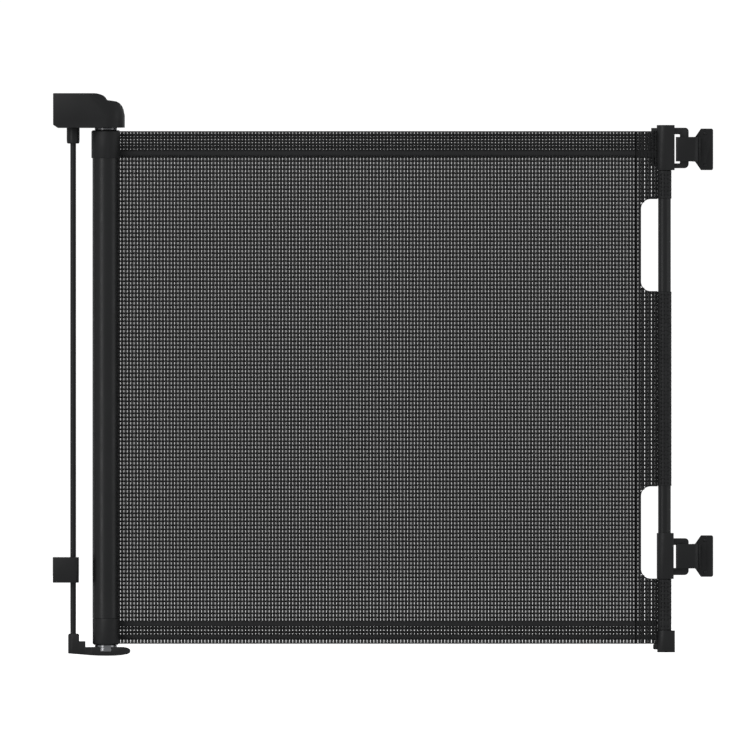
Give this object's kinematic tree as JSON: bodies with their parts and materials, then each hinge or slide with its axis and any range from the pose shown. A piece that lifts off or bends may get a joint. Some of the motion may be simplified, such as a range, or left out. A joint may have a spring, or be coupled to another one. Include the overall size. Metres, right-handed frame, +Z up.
{
  "type": "pet gate",
  "caption": "Wall-mounted retractable mesh gate: spring roller housing, woven mesh panel and a handle bar hooked on wall catches.",
  "frame": {"origin": "on the plane of the foot's lowest point, midway between the two ends and midway between the mounting plane and the front", "axes": "+Z up, +X from the roller housing towards the wall catches, -Y towards the front; the mounting faces lie on the plane y = 0.031"},
  "size_m": [1.0774, 0.062, 0.917],
  "materials": {
    "top_bracket": "fine satin moulded black",
    "lock_floor": "fine satin moulded black",
    "lock_dial": "fine satin moulded black",
    "release_button": "fine satin moulded black",
    "rod_collar": "fine satin moulded black",
    "lower_wall_block": "fine satin moulded black",
    "foot": "fine satin moulded black",
    "top_collar": "fine satin moulded black",
    "bottom_end_cap": "fine satin moulded black",
    "roller_plug_top": "fine satin moulded black",
    "roller_plug_bottom": "fine satin moulded black",
    "upper_loop_sleeve": "fine satin moulded black",
    "lower_loop_sleeve": "fine satin moulded black",
    "bar_end_cap": "fine satin moulded black",
    "upper_catch": "fine satin moulded black",
    "lower_catch": "fine satin moulded black",
    "upper_catch_cover_high": "fine satin moulded black",
    "upper_catch_cover_low": "fine satin moulded black",
    "lower_catch_cover_high": "fine satin moulded black",
    "lower_catch_cover_low": "fine satin moulded black",
    "tie_rod": "smooth satin black paint",
    "housing_tube": "smooth satin black paint",
    "handle_bar": "smooth satin black paint",
    "mesh_panel": "coated woven black mesh",
    "side_hem": "coated woven black mesh",
    "top_hem_tape": "coated woven black mesh",
    "bottom_hem_tape": "coated woven black mesh",
    "bottom_edge_tape": "coated woven black mesh",
    "hem_wrap_top": "coated woven black mesh",
    "hem_wrap_middle": "coated woven black mesh",
    "hem_wrap_bottom": "coated woven black mesh",
    "wound_mesh": "coated woven black mesh",
    "neck_ring_top": "polished dark plating",
    "neck_ring_bottom": "polished dark plating",
    "pawl": "plain steel",
    "pawl_pin": "plain steel",
    "ratchet_wheel": "plain steel",
    "button_spring": "plain steel",
    "torsion_spring": "plain steel",
    "spring_mandrel": "plain steel",
    "top_wall_plate": "zinc-plated sheet",
    "lower_wall_plate": "zinc-plated sheet",
    "dial_cam_ring": "zinc-plated sheet",
    "roller_tube": "zinc-plated sheet"
  },
  "bodies": {
    "wall_frame": {"top_bracket": "top_bracket", "top_wall_plate": "top_wall_plate", "lock_floor": "lock_floor", "pawl_pin": "pawl_pin", "neck_ring_top": "neck_ring_top", "neck_ring_bottom": "neck_ring_bottom", "tie_rod": "tie_rod", "rod_collar": "rod_collar", "lower_wall_block": "lower_wall_block", "lower_wall_plate": "lower_wall_plate", "foot": "foot", "housing_tube": "housing_tube", "top_collar": "top_collar", "bottom_end_cap": "bottom_end_cap", "spring_mandrel": "spring_mandrel", "torsion_spring": "torsion_spring"},
    "roller": {"roller_tube": "roller_tube", "roller_plug_top": "roller_plug_top", "roller_plug_bottom": "roller_plug_bottom", "ratchet_wheel": "ratchet_wheel", "wound_mesh": "wound_mesh"},
    "bar": {"handle_bar": "handle_bar", "upper_loop_sleeve": "upper_loop_sleeve", "lower_loop_sleeve": "lower_loop_sleeve", "bar_end_cap": "bar_end_cap", "mesh_panel": "mesh_panel", "side_hem": "side_hem", "top_hem_tape": "top_hem_tape", "bottom_hem_tape": "bottom_hem_tape", "bottom_edge_tape": "bottom_edge_tape", "hem_wrap_top": "hem_wrap_top", "hem_wrap_middle": "hem_wrap_middle", "hem_wrap_bottom": "hem_wrap_bottom"},
    "wall_catches": {"upper_catch": "upper_catch", "lower_catch": "lower_catch", "upper_catch_cover_high": "upper_catch_cover_high", "upper_catch_cover_low": "upper_catch_cover_low", "lower_catch_cover_high": "lower_catch_cover_high", "lower_catch_cover_low": "lower_catch_cover_low"},
    "dial": {"lock_dial": "lock_dial", "dial_cam_ring": "dial_cam_ring", "button_spring": "button_spring"},
    "button": {"release_button": "release_button"},
    "pawl_body": {"pawl": "pawl"}
  },
  "joints": [
    {"name": "bar_retract", "type": "slide", "parent": "wall_frame", "child": "bar", "axis": [-1, 0, 0], "range_m": [0, 0.8], "deforming": ["mesh_panel", "top_hem_tape", "bottom_hem_tape", "bottom_edge_tape"]},
    {"name": "catch_unhook", "type": "slide", "parent": "bar", "child": "wall_catches", "axis": [0, -1, 0], "range_m": [0, 0.02]},
    {"name": "roller_turn", "type": "hinge", "parent": "wall_frame", "child": "roller", "pos_m": [-0.4523, 0, 0.022], "axis": [0, 0, 1], "range_deg": [0, 3150]},
    {"name": "dial_turn", "type": "hinge", "parent": "wall_frame", "child": "dial", "pos_m": [-0.4523, 0, 0.897], "axis": [0, 0, 1], "range_deg": [0, 90]},
    {"name": "button_press", "type": "slide", "parent": "dial", "child": "button", "axis": [0, 0, -1], "range_m": [0, 0.003], "stiffness_N_per_m": 600, "springref_m": -0.001, "deforming": ["button_spring"]},
    {"name": "pawl_swing", "type": "hinge", "parent": "wall_frame", "child": "pawl_body", "pos_m": [-0.4723, 0.009, 0.872], "axis": [0, 0, 1], "range_deg": [0, 20]}
  ],
  "couplings": [
    {"joint": "roller_turn", "follows": "bar_retract", "rad_per_m": 68.722},
    {"joint": "pawl_swing", "follows": "dial_turn", "ratio": 0.22222}
  ]
}
